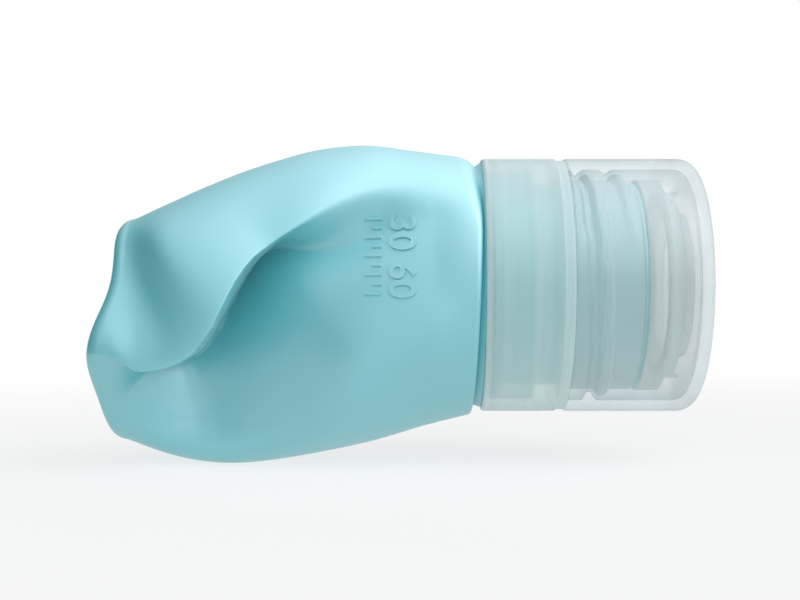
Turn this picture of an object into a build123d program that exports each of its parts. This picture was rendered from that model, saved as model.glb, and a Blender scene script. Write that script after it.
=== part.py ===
from build123d import *
import math
import os

# The bottle lies along X with its cap end at the origin, facing +X, and its near side faces -Y.
# It is held squeezed: the wall is pinched towards the base, with a fold across the near side.

# Overall sizes
cap_length = 19.1
cap_radius = 18.5
collar_length = 12.1
body_length = 54.0
body_overhang = 1.0

# Clearances
rim_gap = 0.08
fit_gap = 0.05
turn_gap = 0.12
thread_gap = 0.3
overrun = 2.0

# Screw thread, one start, right hand
thread_pitch = 4.233
thread_room = 1.65
neck_thread_height = 1.0
cap_thread_height = 1.2
thread_foot = 2.0
thread_crest = 0.9
thread_root_sink = 0.25
neck_thread_length = 6.7
neck_thread_rise = 0.9
cap_thread_length = 4.9
thread_reference = 14.6

# Screw cap
cap_wall = 1.55
cap_end_wall = 1.6
cap_corner_radius = 2.6
cap_corner_chords = 3
cap_thread_rise = 0.35
seal_rib_wall = 0.8

# Collar
skirt_wall = 1.8
web_thickness = 3.2
land_length = 1.3
land_step = 0.25
skirt_edge_chamfer = 0.5
neck_wall = 0.7
neck_end_depth = 9.4

# Silicone bottle
silicone_wall = 2.0
shoulder_wall = 2.4
base_wall = 2.6
base_edge_radius = 1.8
shoulder_edge_radius = 0.8
neck_silicone_wall = 1.8
lip_thickness = 0.7
lip_overlap = 0.65
locating_flange_thickness = 1.3
locating_flange_setback = 0.9
shoulder_gap = 0.1
shoulder_tilt = 2.0
base_tilt = 1.0

# Fold pressed into the near side, and the dents and the bent base rim beside it
fold_depth = 13.0
fold_edge = 0.6
fold_soft_width = 7.0
fold_sharp_width = 2.6
fold_blur = 2.2
valley_lean = 1.7
crest_rise = 2.6
crest_width = 6.0
ridge_offset = 22.0
ridge_rise = 2.6
ridge_width = 5.5
ridge_share = 0.6
soft_share = 0.35
sharp_share = 0.65
flank_x = -77.4
flank_z = 2.6
flank_turn = 24.0
flank_depth = 4.4
flank_width = 3.8
flank_reach = 11.0
dent_x = -72.0
dent_z = -17.0
dent_depth = 3.0
dent_width = 9.0
dent_height = 6.5
base_fold_z = -8.0
base_fold_round = 5.0
base_fold_slope = 0.18
rim_hollow_z = -0.5
rim_hollow_depth = 1.6
rim_hollow_width = 6.0

# Sleeve inside the silicone neck
sleeve_wall = 1.1
sleeve_foot_inset = 2.4

# Dispensing plug
flange_thickness = 3.1
deck_thickness = 1.4
deck_recess = 1.6
spigot_wall = 1.0
spigot_length = 4.6
valve_boss_wall = 1.3
valve_boss_depth = 2.6
valve_lip_width = 1.2
valve_lip_thickness = 0.9

# Valve and its retainer
valve_radius = 5.1
valve_flange_thickness = 0.9
valve_dome_wall = 0.4
valve_dome_rise = 1.3
slit_length = 4.4
slit_width = 0.2
retainer_width = 1.0

# Seal
seal_width = 2.1
seal_thickness = 1.8
seal_inset = 2.85

# Places along X, from the cap's end towards the base
cap_rim_x = -cap_length
collar_end_x = cap_rim_x - rim_gap
collar_foot_x = -cap_length - collar_length
land_foot_x = collar_end_x - land_length
web_foot_x = land_foot_x - web_thickness
neck_end_x = -neck_end_depth
lip_end_x = neck_end_x + fit_gap + lip_thickness
flange_foot_x = lip_end_x + fit_gap
flange_face_x = flange_foot_x + flange_thickness
deck_face_x = flange_face_x - deck_recess
cap_inner_end_x = -cap_end_wall

# Radii, worked inwards from the cap's outside
body_radius = cap_radius + body_overhang
cap_bore_radius = cap_radius - cap_wall
neck_root_radius = cap_bore_radius - thread_room
neck_bore_radius = neck_root_radius - neck_wall
silicone_neck_radius = neck_bore_radius - fit_gap
silicone_bore_radius = silicone_neck_radius - neck_silicone_wall
sleeve_radius = silicone_bore_radius - fit_gap
sleeve_bore_radius = sleeve_radius - sleeve_wall
skirt_bore_radius = cap_radius - skirt_wall
lip_radius = silicone_neck_radius + lip_overlap
flange_radius = cap_bore_radius - cap_thread_height - thread_gap
seal_mean_radius = flange_radius - seal_inset


def thread_path(start_x, length, radius, start_angle):
    """Helix about the X axis that starts at start_angle, counted from +Y towards +Z."""
    turned = Helix(thread_pitch, length, radius, center=(start_x, 0, 0), direction=(1, 0, 0))
    first = turned @ 0
    drawn_angle = math.degrees(math.atan2(first.Z, first.Y))
    return turned.rotate(Axis.X, start_angle - drawn_angle)


def thread_profile_plane(path):
    """Plane through the helix's start: its x axis points away from the bottle's axis."""
    first = path @ 0
    return Plane(origin=first, x_dir=(0, first.Y, first.Z), z_dir=path % 0)


def start_angle_at(start_x, reference_x):
    """Angle at which a helix passes start_x, if it crosses the near side at reference_x."""
    return 180 + 360 * (start_x - reference_x) / thread_pitch


def tooth(height):
    """Thread profile: a trapezoid from its foot, sunk in the wall, up to its crest."""
    sink_spread = thread_root_sink * (thread_foot - thread_crest) / (2 * abs(height))
    sink = math.copysign(thread_root_sink, height)
    foot = thread_foot / 2 + sink_spread
    crest = thread_crest / 2
    Polyline((-sink, -foot), (height, -crest), (height, crest), (-sink, foot), close=True)


# The squeezed wall. Each row is one section: its place along the body from the shoulder to the base, as a
# share of the body's length, and how far its top, bottom, near and far sides reach, as shares of its radius.
squeeze_shares = [
    (0.00, 0.97, 0.98, 0.97, 0.97),
    (0.12, 1.01, 1.06, 0.98, 0.95),
    (0.26, 1.05, 1.17, 0.97, 0.90),
    (0.40, 1.02, 1.25, 0.95, 0.86),
    (0.54, 0.94, 1.31, 0.95, 0.84),
    (0.68, 0.84, 1.34, 0.96, 0.84),
    (0.80, 0.73, 1.32, 0.98, 0.87),
    (0.90, 0.62, 1.26, 1.00, 0.90),
    (1.00, 0.50, 1.16, 1.00, 0.93),
]
# The fold's crest on the near side, from its faint end under the shoulder to the base: its place along
# the body, its height as a share of the radius, and how much of its full depth the valley has there
fold_crest_shares = [
    (0.160, 0.770, 0.00),
    (0.250, 0.690, 0.26),
    (0.370, 0.555, 0.38),
    (0.470, 0.420, 0.48),
    (0.557, 0.305, 0.64),
    (0.622, 0.107, 0.85),
    (0.700, -0.235, 1.00),
    (0.750, -0.420, 1.00),
    (0.830, -0.500, 0.75),
    (0.930, -0.500, 0.35),
    (1.060, -0.480, 0.10),
]
crest_stretches = 30
outer_counts = (11, 17, 10)
outer_spans = 14
inner_counts = (6, 9, 6)
inner_spans = 9
crowding = 1.4
rim_steps = 2


def smooth_step(low, high, value):
    """0 below low, 1 above high, and a smooth step between them."""
    part_way = min(1, max(0, (value - low) / (high - low)))
    return part_way * part_way * (3 - 2 * part_way)


def bell(offset, width):
    """1 in the middle of a swell or a dent, fading to nothing beyond its width."""
    return math.exp(-((offset / width) ** 2))


def row_at(table, along_share):
    """Row of a table of shares at any place along the body, on a smooth run through the table's rows."""
    last = len(table) - 1
    after = next(i for i in range(1, last + 1) if along_share <= table[i][0])
    before = after - 1
    first, second = table[before], table[after]
    ahead, behind = table[min(after + 1, last)], table[max(before - 1, 0)]
    step = second[0] - first[0]
    part_way = (along_share - first[0]) / step
    row = [along_share]
    for a, b, c, d in list(zip(behind, first, second, ahead))[1:]:
        slope_b = (c - a) / (second[0] - behind[0]) * step
        slope_c = (d - b) / (ahead[0] - first[0]) * step
        rise = c - b
        cubic = slope_b + slope_c - 2 * rise
        square = 3 * rise - 2 * slope_b - slope_c
        row.append(b + part_way * (slope_b + part_way * (square + part_way * cubic)))
    return row


def fold_place(x, z):
    """Distance from the fold's crest, positive in the valley below it, and the valley's share of depth.

    Each stretch of the crest counts by its nearness, which keeps the wall smooth where the crest bends."""
    stretches = []
    for (x0, z0, share0), (x1, z1, share1) in zip(crest_line, crest_line[1:]):
        length = math.hypot(x1 - x0, z1 - z0)
        along = ((x - x0) * (x1 - x0) + (z - z0) * (z1 - z0)) / length**2
        along = min(1, max(0, along))
        distance = math.hypot(x - x0 - (x1 - x0) * along, z - z0 - (z1 - z0) * along)
        below = ((x1 - x0) * (z - z0) - (z1 - z0) * (x - x0)) / length
        stretches.append((distance, below, share0 + (share1 - share0) * along))
    nearest = min(distance for distance, _, _ in stretches)
    weights = [math.exp((nearest - distance) / fold_blur) for distance, _, _ in stretches]
    below = sum(weight * stretch[1] for weight, stretch in zip(weights, stretches)) / sum(weights)
    share = sum(weight * stretch[2] for weight, stretch in zip(weights, stretches)) / sum(weights)
    return below, share


def near_relief(x, z):
    """How far the near side stands out at a place: the fold and its valley, and the slopes beside it."""
    below, share = fold_place(x, z)
    sharpness = smooth_step(soft_share, sharp_share, share)
    drop_width = fold_soft_width + (fold_sharp_width - fold_soft_width) * sharpness
    drop = smooth_step(-fold_edge, drop_width, below)
    floor = min(1, max(0, 1 - below / ridge_offset)) ** valley_lean
    valley = -share * fold_depth * drop * floor
    crest = share * crest_rise * bell(min(below, 0), crest_width) * (1 - drop)
    ridge = min(share, ridge_share) * ridge_rise * bell(below - ridge_offset, ridge_width)
    from_flank_x, from_flank_z = x - flank_x, z - flank_z
    turn = math.radians(flank_turn)
    across = from_flank_x * math.cos(turn) + from_flank_z * math.sin(turn)
    along = from_flank_x * math.sin(turn) - from_flank_z * math.cos(turn)
    flank = -flank_depth * smooth_step(-flank_width, flank_width, -across) * bell(along, flank_reach)
    dent = -dent_depth * bell(x - dent_x, dent_width) * bell(z - dent_z, dent_height)
    return valley + crest + ridge + flank + dent


def inner_relief(x, z):
    """Relief of the wall's inner side: the deepest of the outer side's within a wall's thickness."""
    steps = (-silicone_wall, 0, silicone_wall)
    return min(near_relief(x + step_x, z + step_z) for step_x in steps for step_z in steps)


def base_bend(along_share, z, outward):
    """How far the base's rim is drawn in: above and below its fold, and where the near side hollows."""
    off = z - base_fold_z
    drawn = base_fold_slope * (math.hypot(off, base_fold_round) - base_fold_round)
    hollow = rim_hollow_depth * bell(z - rim_hollow_z, rim_hollow_width) * outward
    return drawn * smooth_step(1 / 3, 1, along_share) + hollow * smooth_step(2 / 3, 1, along_share)


def wall_point(x, row, turn_share, inset, relief):
    """Point of one section, set in from the outer skin and raised by the near side's relief."""
    along_share, top, bottom, near, far = row
    angle = 2 * math.pi * turn_share
    middle = (top - bottom) / 2
    half_height = (top + bottom) / 2
    half_depth = near if math.sin(angle) > 0 else far
    reach = math.hypot(half_depth * math.sin(angle), half_height * math.cos(angle))
    kept = 1 - inset / (reach * body_radius)
    depth = half_depth * math.sin(angle) * kept * body_radius
    height = (middle + half_height * math.cos(angle) * kept) * body_radius
    outward = smooth_step(0, 3 / 4, math.sin(angle))
    tilt = math.radians(shoulder_tilt + (base_tilt - shoulder_tilt) * along_share)
    place = x + height * math.sin(tilt) + base_bend(along_share, height, outward)
    if relief and outward > 0:
        depth += relief(place, height) * outward
    return Vector(place, -depth, height * math.cos(tilt))


def turn_places(row, above_count, below_count, far_count):
    """Places round one section, from its top. They crowd at the fold's crest, so that facets follow it."""
    along_share, top, bottom, _, _ = row
    beside_fold = max(along_share, fold_crest_shares[0][0])
    crest = row_at(fold_crest_shares, beside_fold)[1]
    crest_turn = math.acos((crest - (top - bottom) / 2) / ((top + bottom) / 2)) / math.tau
    places = [crest_turn * (1 - (1 - step / above_count) ** crowding) for step in range(above_count)]
    rest = 1 / 2 - crest_turn
    places += [crest_turn + rest * (step / below_count) ** crowding for step in range(below_count)]
    places += [(1 + step / far_count) / 2 for step in range(far_count)]
    return places


def section_corners(x, row, inset, counts, relief):
    """Corners of one closed section, from the top down the near side and up the far side."""
    return [wall_point(x, row, place, inset, relief) for place in turn_places(row, *counts)]


def skin_solid(sections):
    """Closed solid through sections: flat triangles on each span's short diagonals, and fans at the ends."""
    triangles = []
    for first, second in zip(sections, sections[1:]):
        for a, b, c, d in zip(first, first[1:] + first[:1], second[1:] + second[:1], second):
            if (c - a).length < (d - b).length:
                triangles += [[a, b, c], [a, c, d]]
            else:
                triangles += [[a, b, d], [b, c, d]]
    for end in (sections[0], sections[-1]):
        centre = sum(end, Vector()) / len(end)
        triangles += [[a, b, centre] for a, b in zip(end, end[1:] + end[:1])]
    return Solid(Shell([Face(Wire.make_polygon(corners)) for corners in triangles]))


def outer_section(x, row, inset, relief):
    """Section of the outer skin."""
    return section_corners(x, row, inset, outer_counts, relief)


def rim_sections(wall_x, end_x, row, relief):
    """Sections of a rounded rim, which turns a quarter circle from the wall to the flat end."""
    radius = abs(end_x - wall_x)
    turns = [math.pi / 2 * step / rim_steps for step in range(1, rim_steps + 1)]
    return [
        outer_section(
            wall_x + (end_x - wall_x) * math.sin(turn), row, radius * (1 - math.cos(turn)), relief
        )
        for turn in turns
    ]


shoulder_x = collar_foot_x - shoulder_gap - body_radius * math.tan(math.radians(shoulder_tilt))
base_x = shoulder_x - body_length
cavity_first_x = shoulder_x - shoulder_wall
cavity_last_x = base_x + base_wall
locating_flange_x = collar_foot_x + locating_flange_setback
shoulder_rim_x = shoulder_x - shoulder_edge_radius
base_rim_x = base_x + base_edge_radius
crest_first_share, crest_last_share = fold_crest_shares[0][0], fold_crest_shares[-1][0]
crest_span_share = crest_last_share - crest_first_share
crest_rows = [
    row_at(fold_crest_shares, crest_first_share + crest_span_share * step / crest_stretches)
    for step in range(crest_stretches + 1)
]
crest_line = [
    (shoulder_x - body_length * along, body_radius * height, share) for along, height, share in crest_rows
]
outer_rows = [row_at(squeeze_shares, span / outer_spans) for span in range(outer_spans + 1)]
inner_rows = [row_at(squeeze_shares, span / inner_spans) for span in range(inner_spans + 1)]
skin_sections = [
    outer_section(shoulder_rim_x + (base_rim_x - shoulder_rim_x) * row[0], row, 0, near_relief)
    for row in outer_rows
]
cavity_sections = [
    section_corners(
        cavity_first_x + (cavity_last_x - cavity_first_x) * row[0],
        row,
        silicone_wall,
        inner_counts,
        inner_relief,
    )
    for row in inner_rows
]
shoulder_rim = rim_sections(shoulder_rim_x, shoulder_x, outer_rows[0], near_relief)
base_rim = rim_sections(base_rim_x, base_x, outer_rows[-1], near_relief)
skin = skin_solid(shoulder_rim[::-1] + skin_sections + base_rim)
cavity = skin_solid(cavity_sections)

# Silicone bottle: squeezed wall, neck with its locating flange, and the lip that seals the neck's end
with BuildPart() as squeeze_body:
    add(skin)
    with BuildSketch():
        with BuildLine():
            Polyline(
                (cavity_first_x, 0),
                (cavity_first_x, silicone_neck_radius),
                (locating_flange_x, silicone_neck_radius),
                (locating_flange_x, skirt_bore_radius - fit_gap),
                (locating_flange_x + locating_flange_thickness, skirt_bore_radius - fit_gap),
                (locating_flange_x + locating_flange_thickness, silicone_neck_radius),
                (lip_end_x - lip_thickness, silicone_neck_radius),
                (lip_end_x - lip_thickness, lip_radius),
                (lip_end_x, lip_radius),
                (lip_end_x, 0),
                close=True,
            )
        make_face()
    revolve(axis=Axis.X)
    add(cavity, mode=Mode.SUBTRACT)
    with BuildSketch(Plane.YZ.offset(cavity_first_x - overrun)):
        Circle(silicone_bore_radius)
    extrude(amount=lip_end_x - cavity_first_x + 2 * overrun, mode=Mode.SUBTRACT)

# Collar: skirt over the silicone flange, web, land for the cap's rim, and threaded neck
with BuildPart() as neck_collar:
    with BuildSketch() as collar_profile:
        with BuildLine():
            Polyline(
                (collar_foot_x, skirt_bore_radius),
                (collar_foot_x, cap_radius),
                (land_foot_x, cap_radius),
                (land_foot_x, cap_radius - land_step),
                (collar_end_x, cap_radius - land_step),
                (collar_end_x, neck_root_radius),
                (neck_end_x, neck_root_radius),
                (neck_end_x, neck_bore_radius),
                (web_foot_x, neck_bore_radius),
                (web_foot_x, skirt_bore_radius),
                close=True,
            )
        make_face()
        foot_corners = collar_profile.vertices().group_by(Axis.X)[0]
        chamfer(foot_corners.sort_by(Axis.Y)[-1], skirt_edge_chamfer)
    revolve(axis=Axis.X)
    neck_thread_x = collar_end_x + neck_thread_rise + thread_foot / 2
    neck_thread = thread_path(
        neck_thread_x,
        neck_thread_length,
        neck_root_radius,
        start_angle_at(neck_thread_x, -thread_reference),
    )
    with BuildSketch(thread_profile_plane(neck_thread)):
        with BuildLine():
            tooth(neck_thread_height)
        make_face()
    sweep(path=neck_thread, is_frenet=True)

# Sleeve: a stiff tube that props the silicone neck open
with BuildPart() as neck_sleeve:
    with BuildSketch():
        with BuildLine():
            Polyline(
                (collar_foot_x + sleeve_foot_inset, sleeve_bore_radius),
                (collar_foot_x + sleeve_foot_inset, sleeve_radius),
                (lip_end_x, sleeve_radius),
                (lip_end_x, sleeve_bore_radius),
                close=True,
            )
        make_face()
    revolve(axis=Axis.X)

# Plug: flange over the neck's end, recessed deck, spigot in the sleeve, and the boss that seats the valve
spigot_radius = sleeve_bore_radius - fit_gap
spigot_foot_x = deck_face_x - spigot_length
deck_foot_x = deck_face_x - deck_thickness
boss_foot_x = deck_foot_x - valve_boss_depth
boss_bore_radius = valve_radius + fit_gap
lip_bore_radius = boss_bore_radius - valve_lip_width
valve_seat_x = boss_foot_x + valve_lip_thickness
with BuildPart() as dispensing_plug:
    with BuildSketch():
        with BuildLine():
            Polyline(
                (deck_face_x, boss_bore_radius),
                (deck_face_x, spigot_radius - spigot_wall),
                (flange_face_x, spigot_radius),
                (flange_face_x, flange_radius),
                (flange_foot_x, flange_radius),
                (flange_foot_x, spigot_radius),
                (spigot_foot_x, spigot_radius),
                (spigot_foot_x, spigot_radius - spigot_wall),
                (deck_foot_x, spigot_radius - spigot_wall),
                (deck_foot_x, boss_bore_radius + valve_boss_wall),
                (boss_foot_x, boss_bore_radius + valve_boss_wall),
                (boss_foot_x, lip_bore_radius),
                (valve_seat_x, lip_bore_radius),
                (valve_seat_x, boss_bore_radius),
                close=True,
            )
        make_face()
    revolve(axis=Axis.X)

# Valve: a flange in the boss and a thin dished middle that sinks into the bottle, cut by a cross slit
valve_foot_x = valve_seat_x + fit_gap
valve_face_x = valve_foot_x + valve_flange_thickness
dome_radius = lip_bore_radius - turn_gap
dome_flat_radius = dome_radius / 2
with BuildPart() as valve:
    with BuildSketch():
        with BuildLine():
            Polyline(
                (valve_foot_x - valve_dome_rise, 0),
                (valve_foot_x - valve_dome_rise, dome_flat_radius),
                (valve_foot_x, dome_radius),
                (valve_foot_x, valve_radius),
                (valve_face_x, valve_radius),
                (valve_face_x, dome_radius - valve_dome_wall),
                (valve_foot_x - valve_dome_rise + valve_dome_wall, dome_flat_radius),
                (valve_foot_x - valve_dome_rise + valve_dome_wall, 0),
                close=True,
            )
        make_face()
    revolve(axis=Axis.X)
    with BuildSketch(Plane.YZ.offset(valve_foot_x - 2 * valve_dome_rise)):
        Rectangle(slit_length, slit_width)
        Rectangle(slit_width, slit_length)
    extrude(amount=2 * valve_dome_rise + valve_flange_thickness + overrun, mode=Mode.SUBTRACT)

# Retainer: the ring that is pressed in over the valve's flange
with BuildPart() as valve_retainer:
    with BuildSketch():
        with BuildLine():
            Polyline(
                (valve_face_x + fit_gap, valve_radius - retainer_width),
                (valve_face_x + fit_gap, valve_radius),
                (deck_face_x, valve_radius),
                (deck_face_x, valve_radius - retainer_width),
                close=True,
            )
        make_face()
    revolve(axis=Axis.X)

# Seal: a soft ring that lies on the plug's flange and is stretched over the cap's rib
seal_foot_x = flange_face_x + rim_gap
seal_face_x = seal_foot_x + seal_thickness
seal_inner_radius = seal_mean_radius - seal_width / 2
seal_outer_radius = seal_mean_radius + seal_width / 2
with BuildPart() as cap_seal:
    with BuildSketch():
        with BuildLine():
            Polyline(
                (seal_foot_x, seal_inner_radius),
                (seal_foot_x, seal_outer_radius),
                (seal_face_x, seal_outer_radius),
                (seal_face_x, seal_inner_radius),
                close=True,
            )
        make_face()
    revolve(axis=Axis.X)

# Screw cap: clear shell with an internal thread, and a land and a rib that the seal is stretched over
rib_foot_x = (seal_foot_x + seal_face_x) / 2
seal_land_x = seal_face_x + rim_gap
seal_rib_radius = seal_inner_radius - turn_gap
corner_turns = [math.pi / 2 * chord / cap_corner_chords for chord in range(cap_corner_chords + 1)]
cap_corner = [
    (
        cap_corner_radius * (math.cos(turn) - 1),
        cap_radius - cap_corner_radius * (1 - math.sin(turn)),
    )
    for turn in corner_turns
]
with BuildPart() as screw_cap:
    with BuildSketch():
        with BuildLine():
            Polyline(
                (0, 0),
                *cap_corner,
                (cap_rim_x, cap_radius),
                (cap_rim_x, cap_bore_radius),
                (cap_inner_end_x, cap_bore_radius),
                (cap_inner_end_x, seal_outer_radius),
                (seal_land_x, seal_outer_radius),
                (seal_land_x, seal_rib_radius),
                (rib_foot_x, seal_rib_radius),
                (rib_foot_x, seal_rib_radius - seal_rib_wall),
                (cap_inner_end_x, seal_rib_radius - seal_rib_wall),
                (cap_inner_end_x, 0),
                close=True,
            )
        make_face()
    revolve(axis=Axis.X)
    mesh_reference = thread_reference + (thread_foot + thread_crest) / 2 + thread_gap
    cap_thread_x = cap_rim_x + thread_foot / 2 + cap_thread_rise
    cap_thread = thread_path(
        cap_thread_x,
        cap_thread_length,
        cap_bore_radius,
        start_angle_at(cap_thread_x, -mesh_reference),
    )
    with BuildSketch(thread_profile_plane(cap_thread)):
        with BuildLine():
            tooth(-cap_thread_height)
        make_face()
    sweep(path=cap_thread, is_frenet=True)

squeeze_body.part.label = "squeeze_body"
neck_collar.part.label = "neck_collar"
neck_sleeve.part.label = "neck_sleeve"
dispensing_plug.part.label = "dispensing_plug"
valve.part.label = "valve"
valve_retainer.part.label = "valve_retainer"
cap_seal.part.label = "cap_seal"
screw_cap.part.label = "screw_cap"

os.makedirs("parts", exist_ok=True)
pieces = [
    squeeze_body,
    neck_collar,
    neck_sleeve,
    dispensing_plug,
    valve,
    valve_retainer,
    cap_seal,
    screw_cap,
]
for piece in pieces:
    export_step(piece.part, f"parts/{piece.part.label}.step")
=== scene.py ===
import math

import bmesh
import bpy
import numpy as np
from bpy.props import FloatProperty, FloatVectorProperty, IntProperty, PointerProperty
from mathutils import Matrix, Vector
from mathutils.bvhtree import BVHTree


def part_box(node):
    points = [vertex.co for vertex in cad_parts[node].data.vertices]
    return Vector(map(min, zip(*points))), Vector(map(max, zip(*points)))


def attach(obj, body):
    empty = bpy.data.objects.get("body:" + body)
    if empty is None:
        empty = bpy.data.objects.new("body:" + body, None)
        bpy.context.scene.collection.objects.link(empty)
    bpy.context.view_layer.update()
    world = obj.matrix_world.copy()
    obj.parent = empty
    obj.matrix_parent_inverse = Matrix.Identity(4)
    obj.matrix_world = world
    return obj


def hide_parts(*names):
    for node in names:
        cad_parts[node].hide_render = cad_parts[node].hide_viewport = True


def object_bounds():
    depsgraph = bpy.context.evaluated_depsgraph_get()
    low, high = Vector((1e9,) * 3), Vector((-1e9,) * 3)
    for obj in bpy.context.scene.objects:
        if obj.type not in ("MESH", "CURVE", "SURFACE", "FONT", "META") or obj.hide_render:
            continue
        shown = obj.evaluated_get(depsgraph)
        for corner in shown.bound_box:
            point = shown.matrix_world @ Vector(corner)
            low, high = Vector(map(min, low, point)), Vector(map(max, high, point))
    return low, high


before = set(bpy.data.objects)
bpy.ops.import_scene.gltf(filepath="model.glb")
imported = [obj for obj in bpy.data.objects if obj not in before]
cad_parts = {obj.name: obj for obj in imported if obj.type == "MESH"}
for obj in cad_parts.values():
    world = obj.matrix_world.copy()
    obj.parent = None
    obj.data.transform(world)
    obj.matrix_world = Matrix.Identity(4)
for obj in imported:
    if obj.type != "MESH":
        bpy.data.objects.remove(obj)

bl_info = {
    "name": "Squeeze Bottle Dresser",
    "version": (1, 0, 0),
    "blender": (4, 5, 0),
    "location": "View3D > Sidebar > Bottle",
    "description": "Models the squeezed silicone bottle, its clear cap and frosted collar, and lights them",
    "category": "Object",
}

CAD_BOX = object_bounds()
MM = 0.001


def box_in_millimetres(node):
    """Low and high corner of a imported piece, in millimetres."""
    low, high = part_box(node)
    return Vector(low) / MM, Vector(high) / MM


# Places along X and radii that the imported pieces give, in millimetres
CAP_LOW, CAP_HIGH = box_in_millimetres("screw_cap")
COLLAR_LOW, COLLAR_HIGH = box_in_millimetres("neck_collar")
SEAL_LOW, SEAL_HIGH = box_in_millimetres("cap_seal")
LIP_END = box_in_millimetres("squeeze_body")[1].x


class BottleSizes(bpy.types.PropertyGroup):
    """Sizes of the dressed pieces."""

    body_length: FloatProperty(
        name="Body length",
        description="From the shoulder to the base, along the axis",
        default=54.0 * MM,
        unit="LENGTH",
    )
    body_radius: FloatProperty(
        name="Body radius",
        description="Radius of the silicone body before it is squeezed",
        default=19.5 * MM,
        unit="LENGTH",
    )
    wall: FloatProperty(
        name="Silicone wall",
        description="Thickness of the body's wall",
        default=2.0 * MM,
        unit="LENGTH",
    )
    fold_depth: FloatProperty(
        name="Fold depth",
        description="How far the valley beside the fold sinks behind the fold's crest",
        default=14.0 * MM,
        unit="LENGTH",
    )
    mark_height: FloatProperty(
        name="Mark height",
        description="How far the fill marks stand proud of the wall",
        default=0.28 * MM,
        unit="LENGTH",
    )
    cap_wall: FloatProperty(
        name="Cap wall",
        description="Thickness of the cap's side wall",
        default=1.55 * MM,
        unit="LENGTH",
    )
    cap_end_wall: FloatProperty(
        name="Cap end wall",
        description="Thickness of the cap's flat end",
        default=1.6 * MM,
        unit="LENGTH",
    )
    cap_corner: FloatProperty(
        name="Cap corner radius",
        description="Radius of the round between the cap's end and its side",
        default=2.6 * MM,
        unit="LENGTH",
    )
    thread_pitch: FloatProperty(
        name="Thread pitch",
        description="Travel of the screw thread in one turn",
        default=4.233 * MM,
        unit="LENGTH",
    )
    turns: IntProperty(
        name="Facets round",
        description="Facets round each turned piece",
        default=240,
        min=48,
    )


class BottleColours(bpy.types.PropertyGroup):
    """Colours of the dressed pieces."""

    silicone: FloatVectorProperty(
        name="Silicone",
        description="Colour of the soft body",
        subtype="COLOR",
        size=3,
        default=(0.042, 0.425, 0.47),
    )
    silicone_shade: FloatVectorProperty(
        name="Silicone shade",
        description="Colour of the soft body where its cloud of variation is deepest",
        subtype="COLOR",
        size=3,
        default=(0.038, 0.405, 0.45),
    )
    frosted: FloatVectorProperty(
        name="Frosted plastic",
        description="Colour of the milky collar",
        subtype="COLOR",
        size=3,
        default=(0.86, 0.95, 0.94),
    )
    clear: FloatVectorProperty(
        name="Clear plastic",
        description="Colour of the clear cap where it is seen edge on",
        subtype="COLOR",
        size=3,
        default=(0.95, 0.98, 0.99),
    )
    seal: FloatVectorProperty(
        name="Seal",
        description="Colour of the milky seal ring",
        subtype="COLOR",
        size=3,
        default=(0.85, 0.92, 0.91),
    )
    plug: FloatVectorProperty(
        name="Plug",
        description="Colour of the plug and the sleeve",
        subtype="COLOR",
        size=3,
        default=(0.78, 0.86, 0.85),
    )
    floor: FloatVectorProperty(
        name="Floor",
        description="Colour of the floor",
        subtype="COLOR",
        size=3,
        default=(0.9, 0.9, 0.9),
    )


def sizes():
    return bpy.context.scene.bottle_sizes


def colours():
    return bpy.context.scene.bottle_colours


# Materials

# Grain and cloud that all finishes share
GRAIN_DETAIL, GRAIN_DEPTH = 3, 0.02 * MM
CLOUD_DETAIL, CLOUD_EDGES = 2, (0.35, 0.65)
SILICONE_CLOUD_SCALE, PLASTIC_CLOUD_SCALE = 60, 90
SILICONE_GRAIN_SCALE, PLASTIC_GRAIN_SCALE = 2600, 1800

# Second colour of each plastic's cloud
FROSTED_CLOUD = (0.83, 0.92, 0.91)
CLEAR_CLOUD = (0.93, 0.96, 0.97)
PLUG_CLOUD = (0.76, 0.84, 0.83)
SEAL_CLOUD = (0.82, 0.90, 0.89)

# Colours of the light that passes through a plastic wall, seen square on and along the wall
FROSTED_PASSING = ((0.92, 0.985, 0.98), (0.85, 0.90, 0.90))
CLEAR_PASSING = ((0.965, 0.975, 0.978), (0.78, 0.86, 0.87))
MILKY_PASSING = ((0.96, 0.99, 0.98), (0.85, 0.90, 0.90))
PASSING_START = 0.3

# How the plastics scatter and mirror the light
SCATTERED_SHARE = 0.45
SQUARE_ON_GLOSS = 0.04
GLOSS_STEEPNESS = 4.0


class Finish:
    """A node material with its shader at hand."""

    def __init__(self, name):
        self.material = bpy.data.materials.new(name)
        self.material.use_nodes = True
        self.nodes = self.material.node_tree.nodes
        self.links = self.material.node_tree.links
        self.shader = self.nodes["Principled BSDF"]
        self.output = self.nodes["Material Output"]

    def node(self, kind, **values):
        made = self.nodes.new(kind)
        for key, value in values.items():
            setattr(made, key, value)
        return made

    def link(self, source, target):
        self.links.new(source, target)

    def set(self, **values):
        for key, value in values.items():
            self.shader.inputs[key.replace("_", " ")].default_value = value

    def mixed(self, factor, first, second):
        """Mix of two shaders, the second by factor."""
        made = self.node("ShaderNodeMixShader")
        if factor is not None:
            self.link(factor, made.inputs["Fac"])
        self.link(first, made.inputs[1])
        self.link(second, made.inputs[2])
        return made


def noise(finish, scale, detail):
    """Noise over the object's own coordinates."""
    place = finish.node("ShaderNodeTexCoord")
    made = finish.node("ShaderNodeTexNoise")
    made.inputs["Scale"].default_value = scale
    made.inputs["Detail"].default_value = detail
    finish.link(place.outputs["Object"], made.inputs["Vector"])
    return made


def add_grain(finish, scale, strength):
    """Fine bump over the whole surface."""
    grain = noise(finish, scale, GRAIN_DETAIL)
    bump = finish.node("ShaderNodeBump")
    bump.inputs["Strength"].default_value = strength
    bump.inputs["Distance"].default_value = GRAIN_DEPTH
    finish.link(grain.outputs["Fac"], bump.inputs["Height"])
    finish.link(bump.outputs["Normal"], finish.shader.inputs["Normal"])


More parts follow.
